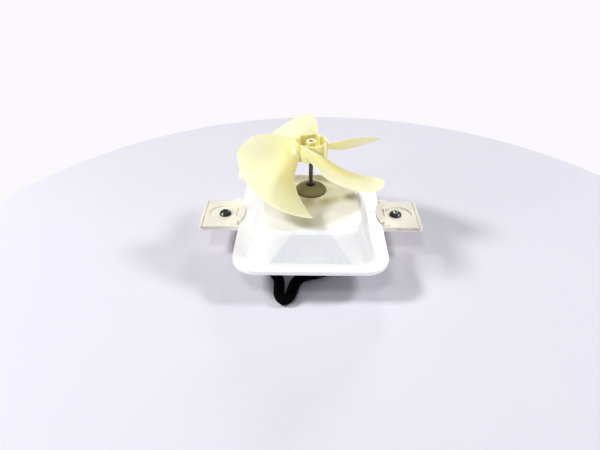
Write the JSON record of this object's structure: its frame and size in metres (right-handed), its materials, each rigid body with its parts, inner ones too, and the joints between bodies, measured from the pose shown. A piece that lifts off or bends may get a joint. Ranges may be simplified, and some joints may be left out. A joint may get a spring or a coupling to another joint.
{
  "type": "fan motor",
  "caption": "Axial fan on a shaded pole motor under a moulded translucent cap with two clip on mounting ears and a sleeved lead.",
  "frame": {"origin": "on the shaft axis, in the plane that the undersides of the two ears seat on", "axes": "+Z along the shaft towards the fan, X through the two ears, the lead loops out towards -Y"},
  "size_m": [0.1728, 0.1362, 0.0949],
  "materials": {
    "fan_plastic": "satin moulded, slightly translucent",
    "shaft_steel": "ground, dark",
    "laminations": "stacked electrical sheet",
    "cast_aluminium": "die cast",
    "plain_steel": "zinc plated",
    "dark_polymer": "matt",
    "sintered_bronze": "sintered, oiled",
    "felt": "wool felt",
    "copper": "enamelled copper",
    "bobbin_nylon": "moulded nylon",
    "coil_tape": "polyester tape",
    "tinned_brass": "tinned",
    "olive_rubber": "moulded rubber",
    "cap_plastic": "translucent moulded polypropylene",
    "ear_plastic": "moulded, satin",
    "dark_screw": "black nickel",
    "black_sleeve": "soft sleeve",
    "connector_nylon": "moulded nylon"
  },
  "bodies": {
    "motor": {"upper_bracket": "cast_aluminium", "lower_bracket": "cast_aluminium", "upper_bearing": "sintered_bronze", "lower_bearing": "sintered_bronze", "oil_felts": "felt", "upper_bearing_cap": "plain_steel", "lower_bearing_cap": "plain_steel", "stator_stack": "laminations", "coil_core": "laminations", "shading_rings": "copper", "stack_rivets": "plain_steel", "bobbin": "bobbin_nylon", "winding": "copper", "coil_tape": "coil_tape", "terminal_pins": "tinned_brass", "terminal_cover": "bobbin_nylon", "motor_screws": "plain_steel", "grommet": "olive_rubber", "housing": "cap_plastic", "left_ear": "ear_plastic", "right_ear": "ear_plastic", "ear_screws": "dark_screw", "lead_sleeve": "black_sleeve", "connector": "connector_nylon", "connector_pins": "tinned_brass"},
    "fan_set": {"fan": "fan_plastic", "shaft": "shaft_steel", "rotor_core": "laminations", "rotor_end_rings": "cast_aluminium", "spacer_sleeves": "plain_steel", "thrust_washers": "dark_polymer"}
  },
  "joints": [
    {"name": "fan_spin", "type": "hinge", "parent": "motor", "child": "fan_set", "pos_m": [0, 0, 0], "axis": [0, 0, 1], "continuous": true}
  ]
}
